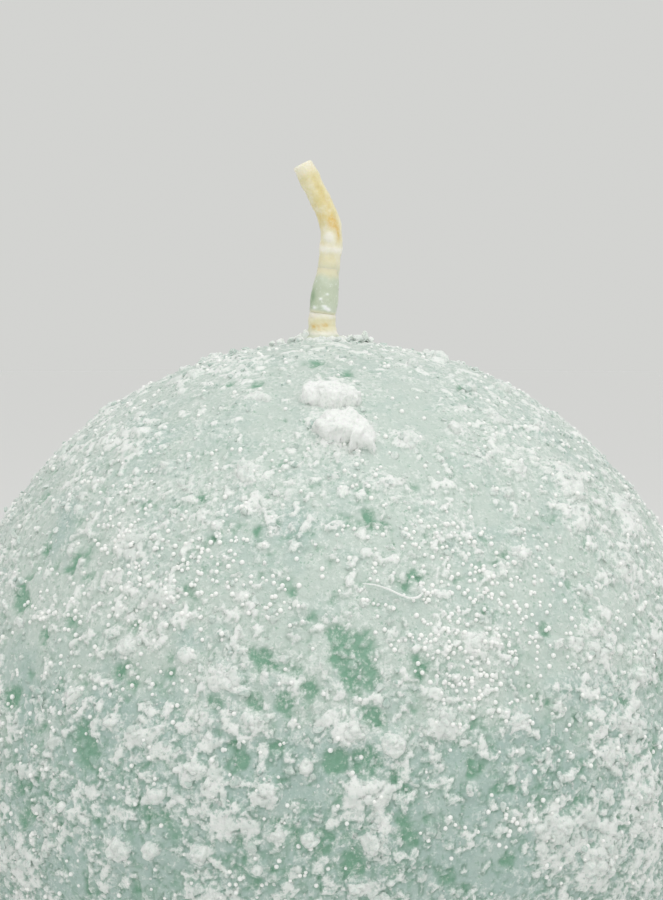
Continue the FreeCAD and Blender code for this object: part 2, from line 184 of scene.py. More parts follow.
# The hollows that show the most green.
DEEP_HOLLOWS = [(3, 17, 2.3), (1, 19, 1.3), (5, 14, 1.7), (5, 2, 1.7), (1, 2, 1.4), (-1, -9, 1.6),
                (-35, 2, 1.6), (-36, 5, 1.2), (-6, 10, 1.2), (-10, 10, 1.0), (-54, 22, 1.4),
                (6, 8, 1.0), (-12, 2, 1.0), (-9, 16, 0.9)]
FROST_MASSES = [(41, -13, 4.0), (34, -11, 2.8), (49, -6, 3.0), (42, 6, 2.0), (64, 34, 3.0), (54, 27, 2.4),
                (51, 42, 2.6), (49, 37, 2.2), (52, 14, 2.2), (48, 21, 2.2), (-29, 29, 3.4), (-26, 25, 2.2),
                (-34, 32, 2.4), (-45, 49, 2.4), (-17, -1, 2.0), (-9, -2, 1.8), (5, -2, 2.0), (7, -7, 1.8),
                (15, 10, 1.6), (-12, 7, 1.8), (-9, 7, 1.4), (2, 7, 1.8), (-5, 12, 1.4), (-13, -6, 1.6),
                (-25, 6, 1.6), (30, 46, 2.4), (43, 1, 2.0), (42, 16, 2.0), (34, 11, 1.6), (53, -12, 3.2),
                (-51, -16, 3.0), (16, 18, 1.4), (9, 43, 1.6), (-38, 70, 2.4), (-60, 66, 2.4), (-20, 75, 2.2),
                (-55, 51, 2.6), (-51, 71, 2.4)]
# Where the frost is thin and few crumbs lie.
DULL_PLACES = [(19, -3, 3.6), (22, -10, 4.2), (15, -13, 3.0), (27, -15, 3.4), (-36, 2, 2.2), (-51, 13, 3.2),
               (-25, -12, 3.4), (-40, -16, 3.0), (26, 3, 2.6), (-20, 18, 2.0)]
BEAD_CLUSTER = [(21, 22, 8.0), (17, 28, 6.0), (26, 28, 4.5), (20, 14, 5.0), (-16, 31, 3.6), (-29, 29, 5.0),
                (-36, 33, 3.6), (-44, 22, 3.6), (-8, 25, 2.4), (-22, 24, 3.0)]
# Splits in the crust, as the angles of their ends and middle.
CRACKS = [((21, 24), (23, 23), (25, 21)), ((1, 44), (4, 42), (9, 44)), ((7, 38), (8, 36), (11, 35)),
          ((-35, 64), (-29, 65), (-23, 64)), ((-11, 72), (-3, 72), (6, 68)),
          ((20, 7), (20.5, 4), (20, 1)), ((-58, 30), (-55, 27), (-53, 22))]


def direction(azimuth, elevation):
    """Unit vectors for angles in degrees."""
    a, e = np.radians(azimuth), np.radians(elevation)
    return np.stack([np.cos(e) * np.sin(a), -np.cos(e) * np.cos(a), np.sin(e)], axis=-1)


def closeness(directions, centres, core):
    """1 within a share, core, of the radius of one of the centres (direction, radius in mm), and 0
    from one and a half radii away."""
    best = np.zeros(len(directions), np.float32)
    for centre, radius in centres:
        away = BALL_RADIUS * np.linalg.norm(directions - centre, axis=1)
        best = np.maximum(best, 1 - smoothstep(core * radius, 1.5 * radius, away))
    return best


def near(directions, places):
    """Closeness to the places (azimuth, elevation, radius)."""
    centres = [(direction(azimuth, elevation), radius) for azimuth, elevation, radius in places]
    return closeness(directions, centres, 0.35)


def along_cracks(directions, wobble):
    """1 on a crack and 0 beside it. wobble, in mm, moves its edges."""
    nearest = np.full(len(directions), 9.0, np.float32)
    for ends in CRACKS:
        first, middle, last = (direction(*angles) for angles in ends)
        for start, finish in ((first, middle), (middle, last)):
            span = finish - start
            share = np.clip((directions - start) @ span / (span @ span), 0, 1)
            away = BALL_RADIUS * np.linalg.norm(directions - start - share[:, None] * span, axis=1)
            nearest = np.minimum(nearest, away)
    return 1 - smoothstep(0.0, 0.24, nearest + wobble)


def vertex_array(mesh):
    corners = np.empty(len(mesh.vertices) * 3, np.float32)
    mesh.vertices.foreach_get("co", corners)
    return corners.reshape(-1, 3)


def mesh_islands(mesh):
    """Vertex numbers of each separate piece of a mesh, joined where vertices meet to a micrometre."""
    corners = vertex_array(mesh)
    _, same = np.unique(np.round(corners * 1e6).astype(np.int64), axis=0, return_inverse=True)
    same = same.reshape(-1)
    edges = np.empty(len(mesh.edges) * 2, np.int32)
    mesh.edges.foreach_get("vertices", edges)
    pairs = same[edges.reshape(-1, 2)]
    label = np.arange(same.max() + 1)
    while True:
        lowest = np.minimum(label[pairs[:, 0]], label[pairs[:, 1]])
        updated = label.copy()
        np.minimum.at(updated, pairs[:, 0], lowest)
        np.minimum.at(updated, pairs[:, 1], lowest)
        updated = updated[updated]
        if np.array_equal(updated, label):
            break
        label = updated
    owner = label[same]
    return [np.flatnonzero(owner == value) for value in np.unique(owner)]


def lumps_of(node):
    """Direction and reach in mm of each separate lump of a CAD node."""
    corners = vertex_array(node.data)
    for island in mesh_islands(node.data):
        part = corners[island] / MM - (0, 0, BALL_CENTRE)
        middle = part.mean(axis=0)
        yield middle / np.linalg.norm(middle), np.linalg.norm(part - middle, axis=1).max()


FLAKES = [lump for name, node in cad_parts.items()
          if name.startswith(("frost_flakes", "frost_clump")) for lump in lumps_of(node)]


def crust(directions):
    """Height of the crust over the ball's radius in mm, and, from 0 to 1, how white it is, how much bare
    green wax and painted crevice shade it shows, and how grey and deep in colour it is. Each noise and
    each kind of crumb has a seed of its own. Added shares make a thing more likely, and smoothstep turns them
    into how much of it is there."""
    points = (directions * BALL_RADIUS).astype(np.float32)
    ragged = warped(points, 2.4, 0.8, 40)
    torn = warped(points, 0.9, 0.24, 130)
    smooth = near(directions, SMOOTH_PATCHES)
    mass = near(directions, FROST_MASSES)
    green = near(directions, GREEN_HOLLOWS)
    dull = near(directions, DULL_PLACES)
    flake = closeness(directions, FLAKES, 0.55)
    low = smoothstep(0.45, -0.2, directions[:, 2])
    high = smoothstep(0.5, 0.95, directions[:, 2])
    patchy = fractal(ragged, 7.5, 3, 60)
    cover = smoothstep(-0.75, 0.5, patchy + 0.45 * mass + 0.2 * flake - 0.8 * smooth - 0.3 * dull)

    # Frost fused into sheets with torn edges, split here and there, and crumbs of three sizes.
    sheet_field = fractal(torn, 2.5, 3, 150, 0.55) - 0.48 + 0.24 * low + 0.40 * mass + 0.12 * patchy
    sheet_field += 0.12 * flake - 0.40 * smooth - 0.60 * green - 0.26 * dull
    chipped = warped(points, 0.7, 0.09, 135)
    plates, plate_tint = broken_plates(chipped, 1.6, 155, 0.96, 0.12)
    sheet = smoothstep(0.0, 0.10, sheet_field) * (0.25 + 0.75 * np.clip(plates, 0, 1))
    crumb_field = fractal(torn, 1.3, 2, 170, 0.5) - 0.38 + 0.18 * low + 0.22 * cover + 0.15 * mass
    crumb_field -= 0.3 * smooth
    crumb_field -= 0.45 * green + 0.12 * dull
    crumb = smoothstep(0.0, 0.20, crumb_field)
    middling = 0.10 + 0.16 * low + 0.30 * cover - 0.3 * smooth
    mid, mid_tint = broken_plates(chipped, 0.85, 175, middling, 0.2)
    small, small_tint = broken_plates(points, 0.5, 190, 0.18 + 0.45 * cover - 0.2 * smooth, 0.4)
    grit = grains(points, 0.34, 230, 0.20 + 0.40 * cover)
    fused = np.clip(sheet + 0.5 * crumb, 0, 1)

    # Crevices: bare green wax in hollows, and a green band along the torn edges that is partly bare wax and
    # partly painted crevice shade.
    edge = smoothstep(-0.16, -0.02, np.maximum(sheet_field, crumb_field)) * (1 - fused)
    field = fractal(torn, 2.4, 4, 90, 0.6) + 0.55 * green + 0.10 * low - 0.06
    field -= 0.22 * high + 0.3 * smooth + 0.25 * mass + 0.2 * dull
    filled = np.maximum(np.maximum(fused, 0.7 * mid), np.maximum(0.4 * small, flake))
    bare_wax_and_shade = smoothstep(0.05, 0.72 - 0.10 * low, field) * (1 - 0.85 * filled)
    # Painted crevice shade: green in a band just outside the torn edges of sheets and crumbs, stronger low on
    # the ball, partly bare wax.
    bare_wax_and_shade = np.maximum(bare_wax_and_shade, edge * (0.16 + 0.34 * low) * (1 - smooth) * (1 - 0.5 * mid))
    deepest = smoothstep(0.35, 0.75, near(directions, DEEP_HOLLOWS) + 0.5 * fractal(torn, 1.7, 3, 95))
    bare_wax_and_shade = np.maximum(bare_wax_and_shade, 0.9 * deepest * (1 - 0.7 * small) * (1 - 0.6 * mid))
    sheet, crumb = sheet * (1 - deepest), crumb * (1 - 0.8 * deepest)
    crack = along_cracks(directions, 0.10 + 0.20 * fractal(points, 0.9, 3, 280))
    root = smoothstep(4.2, 1.4, np.linalg.norm(points[:, :2] - (WICK_OFFSET, 0), axis=1) + 0.5 * patchy)
    root *= directions[:, 2] > 0
    veil = fractal(points, 1.7, 4, 290, 0.65)

    height = -0.40 + 0.18 * fractal(points, 13.0, 2, 250) + 0.08 * cover + 0.22 * mass + 0.30 * flake
    height += 0.50 * root
    soft = 1 - 0.45 * high - 0.15 * low
    height += soft * (0.36 * sheet + 0.26 * crumb * (1 - 0.5 * sheet) + 0.16 * mid * (1 - 0.6 * fused))
    height += soft * (0.09 * small + 0.45 * grit) * (0.3 + 0.7 * cover) * (1 - 0.6 * fused)
    height += 0.09 * soft * fractal(points, 0.9, 3, 270)
    height -= 0.24 * bare_wax_and_shade + 0.16 * crack

    white = 0.08 + 0.20 * cover + 0.12 * mass + 0.20 * flake + 0.45 * root + 0.22 * veil
    white -= 0.08 * low + 0.04 * dull
    white += sheet * (0.50 + 0.30 * plate_tint) + crumb * (0.50 + 0.5 * np.clip(crumb_field, 0, 0.4))
    dusted = small * (0.05 + 0.34 * small_tint) * (0.4 + 0.6 * cover)
    white += mid * (0.14 + 0.40 * mid_tint) + dusted + 0.6 * grit
    white = np.clip(white * (1 - 0.6 * bare_wax_and_shade) * (1 - 0.5 * crack), 0, 1)
    grey = np.clip(0.15 + 0.6 * sheet * plate_tint + 0.4 * mid * mid_tint, 0, 1)
    deep = smoothstep(-0.45, 0.45, 1.4 * low - 0.55 + 0.4 * dull + 0.7 * fractal(ragged, 9.0, 2, 65))
    return height, white, np.maximum(bare_wax_and_shade, 0.55 * crack), grey, deep


# ---- meshes from arrays

def mesh_from_arrays(name, points, faces, smooth=True):
    """Mesh object from points in mm about the ball's centre and faces all of one size."""
    mesh = bpy.data.meshes.new(name)
    sides = faces.shape[1]
    mesh.vertices.add(len(points))
    mesh.vertices.foreach_set("co", ((points + (0, 0, BALL_CENTRE)) * MM).astype(np.float32).ravel())
    mesh.loops.add(faces.size)
    mesh.loops.foreach_set("vertex_index", faces.astype(np.int32).ravel())
    mesh.polygons.add(len(faces))
    mesh.polygons.foreach_set("loop_start", np.arange(0, faces.size, sides, dtype=np.int32))
    mesh.polygons.foreach_set("use_smooth", np.full(len(faces), smooth))
    mesh.update(calc_edges=True)
    mesh.validate()
    piece = bpy.data.objects.new(name, mesh)
    bpy.context.scene.collection.objects.link(piece)
    return piece


def set_look(piece, white, bare_wax_and_shade, grey, deep=0.5):
    """What the frost material reads at each vertex."""
    for name, values in (("white", white), ("bare_wax_and_shade", bare_wax_and_shade), ("grey", grey), ("deep", deep)):
        layer = piece.data.attributes.new(name, "FLOAT", "POINT")
        filled = np.broadcast_to(np.asarray(values, np.float32), len(piece.data.vertices))
        layer.data.foreach_set("value", np.ascontiguousarray(filled))


def finish_piece(piece, material, slot, *replaced):
    """Material and body of a piece, and the CAD nodes that it stands for. slot, its finish, is not used."""
    piece.data.materials.clear()
    piece.data.materials.append(material)
    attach(piece, "root")
    if replaced:
        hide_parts(*replaced)


# ---- materials

def linear(red, green, blue):
    """Linear colour from the 0 to 255 values of a screen colour."""
    return tuple(((c / 255 + 0.055) / 1.055)**2.4 if c > 10 else c / 255 / 12.92
                 for c in (red, green, blue)) + (1.0,)


MINT = linear(199, 212, 204)
DEEP_MINT = linear(175, 197, 190)
GREEN = linear(122, 168, 143)
WHITE = linear(248, 250, 247)
COOL_GREY = linear(208, 218, 212)
GRAIN_WHITE = linear(252, 253, 249)
PALE = linear(243, 239, 226)
CREAM = linear(235, 229, 198)
STRAW = linear(226, 213, 158)
AMBER = linear(225, 193, 108)
SLEEVE_GREEN = linear(205, 213, 192)
SLEEVE_DARK = linear(158, 180, 148)


def new_material(name):
    """Material, its node tree and its shader node."""
    material = bpy.data.materials.new(name)
    material.use_nodes = True
    return material, material.node_tree, material.node_tree.nodes["Principled BSDF"]


def noise_at(tree, scale, detail=3.0, roughness=0.55):
    """Noise over the object's own coordinates; scale is lumps in a metre."""
    place = tree.nodes.new("ShaderNodeTexCoord")
    texture = tree.nodes.new("ShaderNodeTexNoise")
    texture.inputs["Scale"].default_value = scale
    texture.inputs["Detail"].default_value = detail
    texture.inputs["Roughness"].default_value = roughness
    tree.links.new(place.outputs["Object"], texture.inputs["Vector"])
    return texture.outputs["Fac"]


def cells_at(tree, scale, feature="F1"):
    """Distance from the middle, or the edge, of cells; scale is cells in a metre."""
    place = tree.nodes.new("ShaderNodeTexCoord")
    texture = tree.nodes.new("ShaderNodeTexVoronoi")
    texture.feature = feature
    texture.inputs["Scale"].default_value = scale
    tree.links.new(place.outputs["Object"], texture.inputs["Vector"])
    return texture.outputs["Distance"]


def attribute(tree, name):
    """A value that set_look or set_masks stored at each vertex."""
    node = tree.nodes.new("ShaderNodeAttribute")
    node.attribute_name = name
    return node.outputs["Fac"]


def mixed_colour(tree, share, first, second):
    """Colour between two, each a colour or a node's output, by a share that is an output."""
    mix = tree.nodes.new("ShaderNodeMix")
    mix.data_type = "RGBA"
    tree.links.new(share, mix.inputs["Factor"])
    for socket, colour in ((mix.inputs[6], first), (mix.inputs[7], second)):
        if isinstance(colour, tuple):
            socket.default_value = colour
        else:
            tree.links.new(colour, socket)
    return mix.outputs[2]


def ranged(tree, source, low, high, to_low=0.0, to_high=1.0):
    """A source's values from low to high, spread over another range."""
    spread = tree.nodes.new("ShaderNodeMapRange")
    spread.interpolation_type = "SMOOTHSTEP"
    for name, number in (("From Min", low), ("From Max", high), ("To Min", to_low), ("To Max", to_high)):
        spread.inputs[name].default_value = number
    tree.links.new(source, spread.inputs["Value"])
    return spread.outputs["Result"]


def combined(tree, operation, *terms):
    """Math nodes in a row over outputs or numbers."""
    result = terms[0]
    for term in terms[1:]:
        node = tree.nodes.new("ShaderNodeMath")
        node.operation = operation
        for socket, value in zip(node.inputs, (result, term)):
            if isinstance(value, (int, float)):
                socket.default_value = value
            else:
                tree.links.new(value, socket)
        result = node.outputs[0]
    return result


def bump(tree, height, distance, strength):
    """Normal of a relief whose height is distance metres."""
    node = tree.nodes.new("ShaderNodeBump")
    node.inputs["Strength"].default_value = strength
    node.inputs["Distance"].default_value = distance
    tree.links.new(height, node.inputs["Height"])
    return node.outputs["Normal"]


def wire(tree, shader, colour, normal, roughness):
    """Feed a shader what varies over the surface."""
    for name, output in (("Base Color", colour), ("Normal", normal), ("Roughness", roughness)):
        tree.links.new(output, shader.inputs[name])


def fix(shader, **values):
    """Set shader values that are the same all over the surface, such as Coat_Weight."""
    for name, value in values.items():
        shader.inputs[name.replace("_", " ")].default_value = value


def make_waxy(shader, depth, weight, roughness=0.55):
    """Light scatters to a depth in metres inside wax, whose surface is satin."""
    fix(shader, Subsurface_Weight=weight, Subsurface_Radius=(0.9, 1.0, 0.9), Subsurface_Scale=depth,
        Roughness=roughness, IOR=1.44)


def frost_material():
    """Green wax where the frost is thin, white crumbly frost where it is thick."""
    material, tree, shader = new_material("frost")
    speckle = noise_at(tree, 6000, 3, 0.65)
    mottle = noise_at(tree, 1700, 3, 0.6)
    cloud = noise_at(tree, 260, 3, 0.55)
    grit = noise_at(tree, 3100, 2, 0.5)
    flecks = noise_at(tree, 2400, 3, 0.65)
    grain = cells_at(tree, 2700)
    cell_edge_distance = cells_at(tree, 850, "DISTANCE_TO_EDGE")
    white = attribute(tree, "white")
    bare_wax_and_shade = attribute(tree, "bare_wax_and_shade")
    grey = attribute(tree, "grey")

    frosted = combined(tree, "ADD", white,
                       ranged(tree, speckle, 0.33, 0.68, -0.11, 0.13),
                       ranged(tree, grit, 0.30, 0.70, -0.13, 0.15),
                       ranged(tree, mottle, 0.35, 0.65, -0.20, 0.22),
                       ranged(tree, grain, 0.10, 0.50, 0.14, -0.05))
    frosted = ranged(tree, frosted, 0.02, 1.0)
    # Thin green lines along cell edges, here and there: partly cracks and partly painted shadow lines at
    # crumb edges.
    crack_and_shadow_lines = combined(tree, "MULTIPLY", ranged(tree, cell_edge_distance, 0.0, 0.075, 1.0, 0.0),
                    ranged(tree, mottle, 0.55, 0.65), 0.15)
    deep = combined(tree, "ADD", attribute(tree, "deep"), ranged(tree, cloud, 0.35, 0.65, -0.3, 0.3))
    # Green where the frost is bare, and painted crevice shade, both from the crust's attribute.
    wax = mixed_colour(tree, bare_wax_and_shade, mixed_colour(tree, deep, MINT, DEEP_MINT), GREEN)
    frost = mixed_colour(tree, grey, WHITE, COOL_GREY)
    colour = mixed_colour(tree, frosted, wax, frost)
    colour = mixed_colour(tree, crack_and_shadow_lines, colour, GREEN)
    fleck = combined(tree, "MULTIPLY", ranged(tree, flecks, 0.56, 0.68, 0.0, 0.6),
                     ranged(tree, mottle, 0.35, 0.60, 0.2, 1.0), ranged(tree, white, 0.3, 0.9, 1.0, 0.1))
    colour = mixed_colour(tree, fleck, colour, GREEN)
    relief = combined(tree, "ADD", speckle, grit, combined(tree, "MULTIPLY", grain, -0.4))
    wire(tree, shader, colour, bump(tree, relief, 0.00012, 0.7), ranged(tree, white, 0.0, 1.0, 0.42, 0.62))
    make_waxy(shader, 0.0003, 0.25)
    fix(shader, Sheen_Weight=0.22, Sheen_Roughness=0.45)
    return material


def bead_material():
    material, tree, shader = new_material("bright_grains")
    shade = noise_at(tree, 1400, 2)
    tree.links.new(mixed_colour(tree, ranged(tree, shade, 0.35, 0.65), GRAIN_WHITE, WHITE),
              shader.inputs["Base Color"])
    make_waxy(shader, 0.0003, 0.2, 0.35)
    fix(shader, Coat_Weight=0.3, Coat_Roughness=0.1)
    return material


def wick_material():
    """Cream cotton under clear wax, with amber where the wax is old and white where it is thick."""
    material, tree, shader = new_material("waxed_cotton")
    fibre = noise_at(tree, 4200, 3, 0.6)
    cloud = noise_at(tree, 700, 3, 0.6)
    colour = mixed_colour(tree, attribute(tree, "straw"), CREAM, STRAW)
    amber = combined(tree, "MULTIPLY", attribute(tree, "amber"),
                     ranged(tree, cloud, 0.3, 0.55, 0.55, 1.1))
    colour = mixed_colour(tree, amber, colour, AMBER)
    pale = combined(tree, "ADD", attribute(tree, "pale"), ranged(tree, cloud, 0.45, 0.75, 0, 0.35),
                    ranged(tree, fibre, 0.35, 0.65, -0.10, 0.12))
    colour = mixed_colour(tree, pale, colour, PALE)
    colour = mixed_colour(tree, attribute(tree, "green"), colour, SLEEVE_GREEN)
    wire(tree, shader, colour, bump(tree, fibre, 0.00008, 0.5), ranged(tree, cloud, 0.3, 0.7, 0.30, 0.5))
    make_waxy(shader, 0.0006, 0.5)
    return material


def sleeve_material():
    """Thin green wax that fades to the wick's cream at its top."""
    material, tree, shader = new_material("green_wax")
    speckle = noise_at(tree, 3600, 3, 0.6)
    cloud = noise_at(tree, 900, 3, 0.6)
    dark = combined(tree, "MULTIPLY", attribute(tree, "dark"), ranged(tree, cloud, 0.25, 0.55))
    colour = mixed_colour(tree, dark, SLEEVE_GREEN, SLEEVE_DARK)
    pale = combined(tree, "ADD", attribute(tree, "pale"), ranged(tree, speckle, 0.55, 0.75, 0, 0.5))
    colour = mixed_colour(tree, pale, colour, WHITE)
    colour = mixed_colour(tree, attribute(tree, "fade"), colour, CREAM)
    wire(tree, shader, colour, bump(tree, speckle, 0.00008, 0.4), ranged(tree, cloud, 0.3, 0.7, 0.25, 0.45))
    make_waxy(shader, 0.0006, 0.5)
    return material


def core_material():
    """White pressed wax: faint mottling, small pits and rubbed streaks."""
    material, tree, shader = new_material("white_wax")
    mottle = noise_at(tree, 420, 4, 0.6)
    pits = cells_at(tree, 900)
    streaks = noise_at(tree, 1900, 2, 0.5)
    colour = mixed_colour(tree, ranged(tree, mottle, 0.35, 0.65), WHITE, linear(228, 230, 221))
    colour = mixed_colour(tree, ranged(tree, pits, 0.0, 0.16, 0.5, 0.0), colour,
                          linear(204, 208, 197))
    relief = combined(tree, "ADD", mottle, combined(tree, "MULTIPLY", streaks, 0.35),
                      ranged(tree, pits, 0.0, 0.2, -0.4, 0.0))
    wire(tree, shader, colour, bump(tree, relief, 0.00015, 0.6), ranged(tree, streaks, 0.35, 0.65, 0.32, 0.5))
    make_waxy(shader, 0.0012, 0.5)
    return material


def tin_material():
    """Tinned sheet steel: soft spangle, rolling marks and dull spots of wax."""
    material, tree, shader = new_material("tinned_steel")
    spangle = cells_at(tree, 520)
    film = noise_at(tree, 650, 4, 0.6)
    fine = noise_at(tree, 5200, 2, 0.5)
    colour = mixed_colour(tree, ranged(tree, spangle, 0.1, 0.6), linear(196, 197, 196),
                          linear(214, 215, 213))
    colour = mixed_colour(tree, ranged(tree, film, 0.52, 0.72, 0.0, 0.6), colour,
                          linear(225, 226, 218))
    fix(shader, Metallic=1.0)
    wire(tree, shader, colour, bump(tree, fine, 0.00003, 0.4), ranged(tree, film, 0.35, 0.7, 0.26, 0.5))
    return material


# ---- the crust's tiles

# The crust is the six sides of a cube bulged onto the ball. Both sides of a cube's edge have their
# corners at the same angles along it, so the tiles meet without gaps. From front to back, the tiles'
# front halves are twice as fine as their back halves.
def even_tangents(low, high, squares):
    """Tangents of evenly spaced angles, in degrees."""
    return np.tan(np.radians(np.linspace(low, high, squares + 1)))


ACROSS = even_tangents(-45, 45, squares=330)
UPWARDS = even_tangents(-45, 45, squares=300)
INWARDS = np.concatenate([even_tangents(-45, 0, squares=150)[:-1], even_tangents(0, 45, squares=75)])


def tile_grids():
    """Name and cube positions of each tile's corners, as a grid with its faces' fronts outwards."""
    def grid(first, second):
        return np.meshgrid(first, second, indexing="ij")

    x, z = grid(ACROSS, UPWARDS)
    yield "front", (x, -np.ones_like(x), z)
    yield "back", (x[::-1], np.ones_like(x), z)
    y, z = grid(INWARDS, UPWARDS)
    yield "right", (np.ones_like(y), y, z)
    yield "left", (-np.ones_like(y), y[::-1], z)
    x, y = grid(ACROSS, INWARDS)
    yield "top", (x, y, np.ones_like(x))
    yield "bottom", (x, y[:, ::-1], -np.ones_like(x))


def grid_faces(columns, rows):
    """Squares between the corners of a grid."""
    corner = np.arange(columns * rows).reshape(columns, rows)
    return np.stack([corner[:-1, :-1], corner[1:, :-1], corner[1:, 1:], corner[:-1, 1:]],
                    axis=-1).reshape(-1, 4)


def flattened(points):
    """Points cut off flat at the foot, and which of them were below it."""
    floor = COAT_EDGE - BALL_CENTRE
    below = points[:, 2] < floor
    reach = np.where(below, floor / np.minimum(points[:, 2], -1e-6), 1.0)
    return points * reach[:, None], below


def make_crust(material):
    """The crust as tiles, each a mesh of its own."""
    for name, cube in tile_grids():
        directions = unit(np.stack(cube, axis=-1).reshape(-1, 3))
        height, *look = crust(directions)
        points, below = flattened(directions * (BALL_RADIUS + height)[:, None])
        faces = grid_faces(*cube[0].shape)
        if name == "bottom":
            spread = np.linalg.norm(points[:, :2], axis=1)
            inner = below & (spread < FOOT_RADIUS)
            faces = faces[~inner[faces].all(axis=1)]
            edge = inner & np.isin(np.arange(len(points)), faces)
            points[edge, :2] *= (FOOT_RADIUS / spread[edge])[:, None]
            used, faces = np.unique(faces, return_inverse=True)
            faces = faces.reshape(-1, 4)
            points, look = points[used], [values[used] for values in look]
        piece = mesh_from_arrays(f"crust_{name}", points, faces)
        set_look(piece, *look)
        finish_piece(piece, material, "frost_wax", "frost_coat", "overdip_coat")


# ---- crumbs and grains

def ball_shape(rings):
    """Points and triangles of a unit ball."""
    shape = bmesh.new()
    bmesh.ops.create_icosphere(shape, subdivisions=rings, radius=1.0)
    points = np.array([v.co for v in shape.verts], np.float32)
    faces = np.array([[v.index for v in f.verts] for f in shape.faces], np.int32)
    shape.free()
    return points, faces


def crumb_shape(rng, rings, cuts, lumps):
    """A lumpy unit ball with flat faces broken off it."""
    points, faces = ball_shape(rings)
    swell = np.ones(len(points))
    for _ in range(lumps):
        towards = rng.normal(size=3)
        towards /= np.linalg.norm(towards)
        swell += rng.uniform(-0.3, 0.3) * np.exp(-4 * np.sum((points - towards)**2, axis=1))
    points = points * swell[:, None]
    for _ in range(cuts):
        normal = rng.normal(size=3)
        normal /= np.linalg.norm(normal)
        over = points @ normal - rng.uniform(0.4, 0.75)
        points = points - np.clip(over, 0, None)[:, None] * normal
    points *= 1 + rng.uniform(-0.07, 0.07, (len(points), 1))
    return points.astype(np.float32), faces


def frames_about(normals, rng, tilt):
    """Turned axes for each normal: two along the surface and one outwards, tilted a little."""
    outward = unit(normals + tilt * rng.normal(size=normals.shape))
    across = unit(np.cross(outward, rng.normal(size=normals.shape)))
    return np.stack([across, np.cross(outward, across), outward], axis=2)


def scatter_mesh(name, shapes, centres, axes, sizes, white, grey, material, smooth=False):
    """One mesh of many small solids. sizes are half-widths in mm along each one's own axes."""
    made = []
    total = 0
    for number, (shape_points, shape_faces) in enumerate(shapes):
        chosen = np.arange(number, len(centres), len(shapes))
        local = shape_points[None] * sizes[chosen][:, None, :]
        placed = np.einsum("nij,nvj->nvi", axes[chosen], local) + centres[chosen][:, None, :]
        starts = total + np.arange(len(chosen)) * len(shape_points)
        made.append((placed.reshape(-1, 3), (shape_faces[None] + starts[:, None, None]).reshape(-1, 3),
                     np.repeat(white[chosen], len(shape_points)), np.repeat(grey[chosen], len(shape_points))))
        total += len(chosen) * len(shape_points)
    points, faces, whites, greys = (np.concatenate(parts) for parts in zip(*made))
    piece = mesh_from_arrays(name, points, faces, smooth)
    set_look(piece, whites, 0.0, greys)
    finish_piece(piece, material, "frost_wax")


# Height in mm above the coat's edge below which no crumb lies.
FOOT_CLEARANCE = 0.6


def random_directions(rng, count):
    """Evenly spread directions that miss the foot."""
    found = unit(rng.normal(size=(count, 3)))
    low = (COAT_EDGE + FOOT_CLEARANCE - BALL_CENTRE) / BALL_RADIUS
    return found[found[:, 2] > low]


def scatter(name, count, seed, diameters, power, widths, flatness, keep, embed, shapes, whiteness,
            material, smooth=False):
    """Crumbs or grains over the ball, in a front and a back mesh. count is how many places are
    tried, of which keep gives the share that is taken. diameters are in mm, and a higher power
    makes more of them small. widths and flatness are ranges of their shares of the diameter, and
    embed is the share of each one that is sunk in the crust."""
    rng = np.random.default_rng(seed)
    places = random_directions(rng, count)
    height, white, bare_wax_and_shade, *_ = crust(places)
    chosen = rng.random(len(places)) < keep(places, white, bare_wax_and_shade)
    places, height = places[chosen], height[chosen]
    wide = diameters[0] + (diameters[1] - diameters[0]) * rng.random(len(places))**power
    across = rng.uniform(*widths, (len(places), 2))
    sizes = 0.5 * wide[:, None] * np.column_stack([across, rng.uniform(*flatness, len(places))])
    axes = frames_about(places, rng, 0.3)
    centres = places * (BALL_RADIUS + height + sizes[:, 2] * (1 - 2 * embed))[:, None]
    whites = rng.uniform(*whiteness, len(places)) * (1 - 0.25 * smoothstep(0.7, 0.95, places[:, 2]))
    greys = rng.random(len(places))
    for side, mine in (("front", places[:, 1] < 0), ("back", places[:, 1] >= 0)):
        scatter_mesh(f"{name}_{side}", shapes, centres[mine], axes[mine], sizes[mine], whites[mine],
                     greys[mine], material, smooth)


def crumb_chance(places, white, bare_wax_and_shade):
    """Chance that a crumb is there: most where the frost is thick, least where it is bare."""
    mass = near(places, FROST_MASSES)
    low = smoothstep(0.55, -0.2, places[:, 2])
    smooth = near(places, SMOOTH_PATCHES)
    beads = near(places, BEAD_CLUSTER)
    bare = near(places, GREEN_HOLLOWS)
    high = smoothstep(0.7, 0.95, places[:, 2])
    chance = 0.20 + 0.25 * white + 0.20 * mass + 0.10 * low - 0.3 * bare_wax_and_shade - 0.6 * smooth - 0.1 * beads
    chance -= 0.12 * high
    return np.clip(chance - 0.3 * near(places, DULL_PLACES) - 0.5 * bare, 0.02, 1)


def grain_chance(places, white, bare_wax_and_shade):
    """Chance that a bright grain is there: some in patches, most in the clusters."""
    patches = smoothstep(-0.2, 0.5, fractal(places * BALL_RADIUS, 9.0, 3, 300))
    cluster = near(places, BEAD_CLUSTER)
    high = smoothstep(0.6, 0.9, places[:, 2])
    return np.clip((0.07 + 0.14 * patches) * (1 - 0.5 * high) + 0.85 * cluster, 0, 1)


